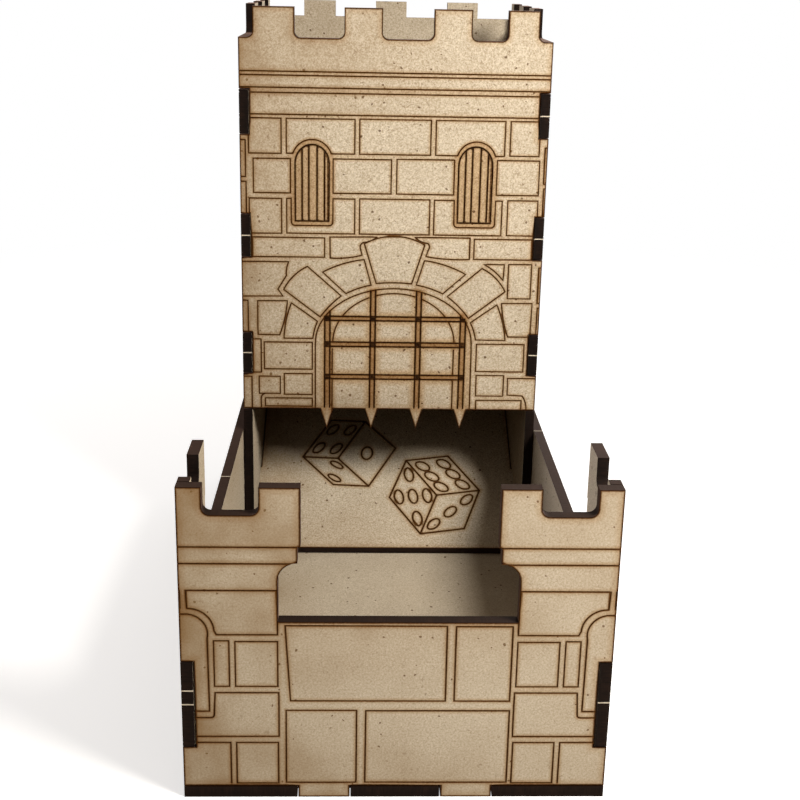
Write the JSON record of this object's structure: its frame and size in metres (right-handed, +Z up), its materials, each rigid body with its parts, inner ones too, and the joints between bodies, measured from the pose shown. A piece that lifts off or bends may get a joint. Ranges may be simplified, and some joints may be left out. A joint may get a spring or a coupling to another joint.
{
  "type": "castle dice tower with rolling tray",
  "caption": "Slotted-board castle dice tower: battlemented square tower with sloping boards inside, standing at the rear of a low castle-wall tray.",
  "frame": {"origin": "on the ground under the middle of the tray's footprint", "axes": "+Z up; -Y is the front, where the dice come out; +X is to the right seen from the front"},
  "size_m": [0.105, 0.214, 0.1886],
  "materials": {
    "base_plate": "raw fibreboard, matt, laser-cut edges",
    "tray_front_wall": "raw fibreboard, matt, laser-cut edges",
    "tray_left_wall": "raw fibreboard, matt, laser-cut edges",
    "tray_right_wall": "raw fibreboard, matt, laser-cut edges",
    "tower_front_panel": "raw fibreboard, matt, laser-cut edges",
    "tower_back_panel": "raw fibreboard, matt, laser-cut edges",
    "tower_left_panel": "raw fibreboard, matt, laser-cut edges",
    "tower_right_panel": "raw fibreboard, matt, laser-cut edges",
    "exit_ramp": "raw fibreboard, matt, laser-cut edges",
    "lower_baffle": "raw fibreboard, matt, laser-cut edges",
    "upper_baffle": "raw fibreboard, matt, laser-cut edges"
  },
  "bodies": {
    "root": {"base_plate": "base_plate", "tray_front_wall": "tray_front_wall", "tray_left_wall": "tray_left_wall", "tray_right_wall": "tray_right_wall", "tower_front_panel": "tower_front_panel", "tower_back_panel": "tower_back_panel", "tower_left_panel": "tower_left_panel", "tower_right_panel": "tower_right_panel", "exit_ramp": "exit_ramp", "lower_baffle": "lower_baffle", "upper_baffle": "upper_baffle"}
  },
  "joints": []
}
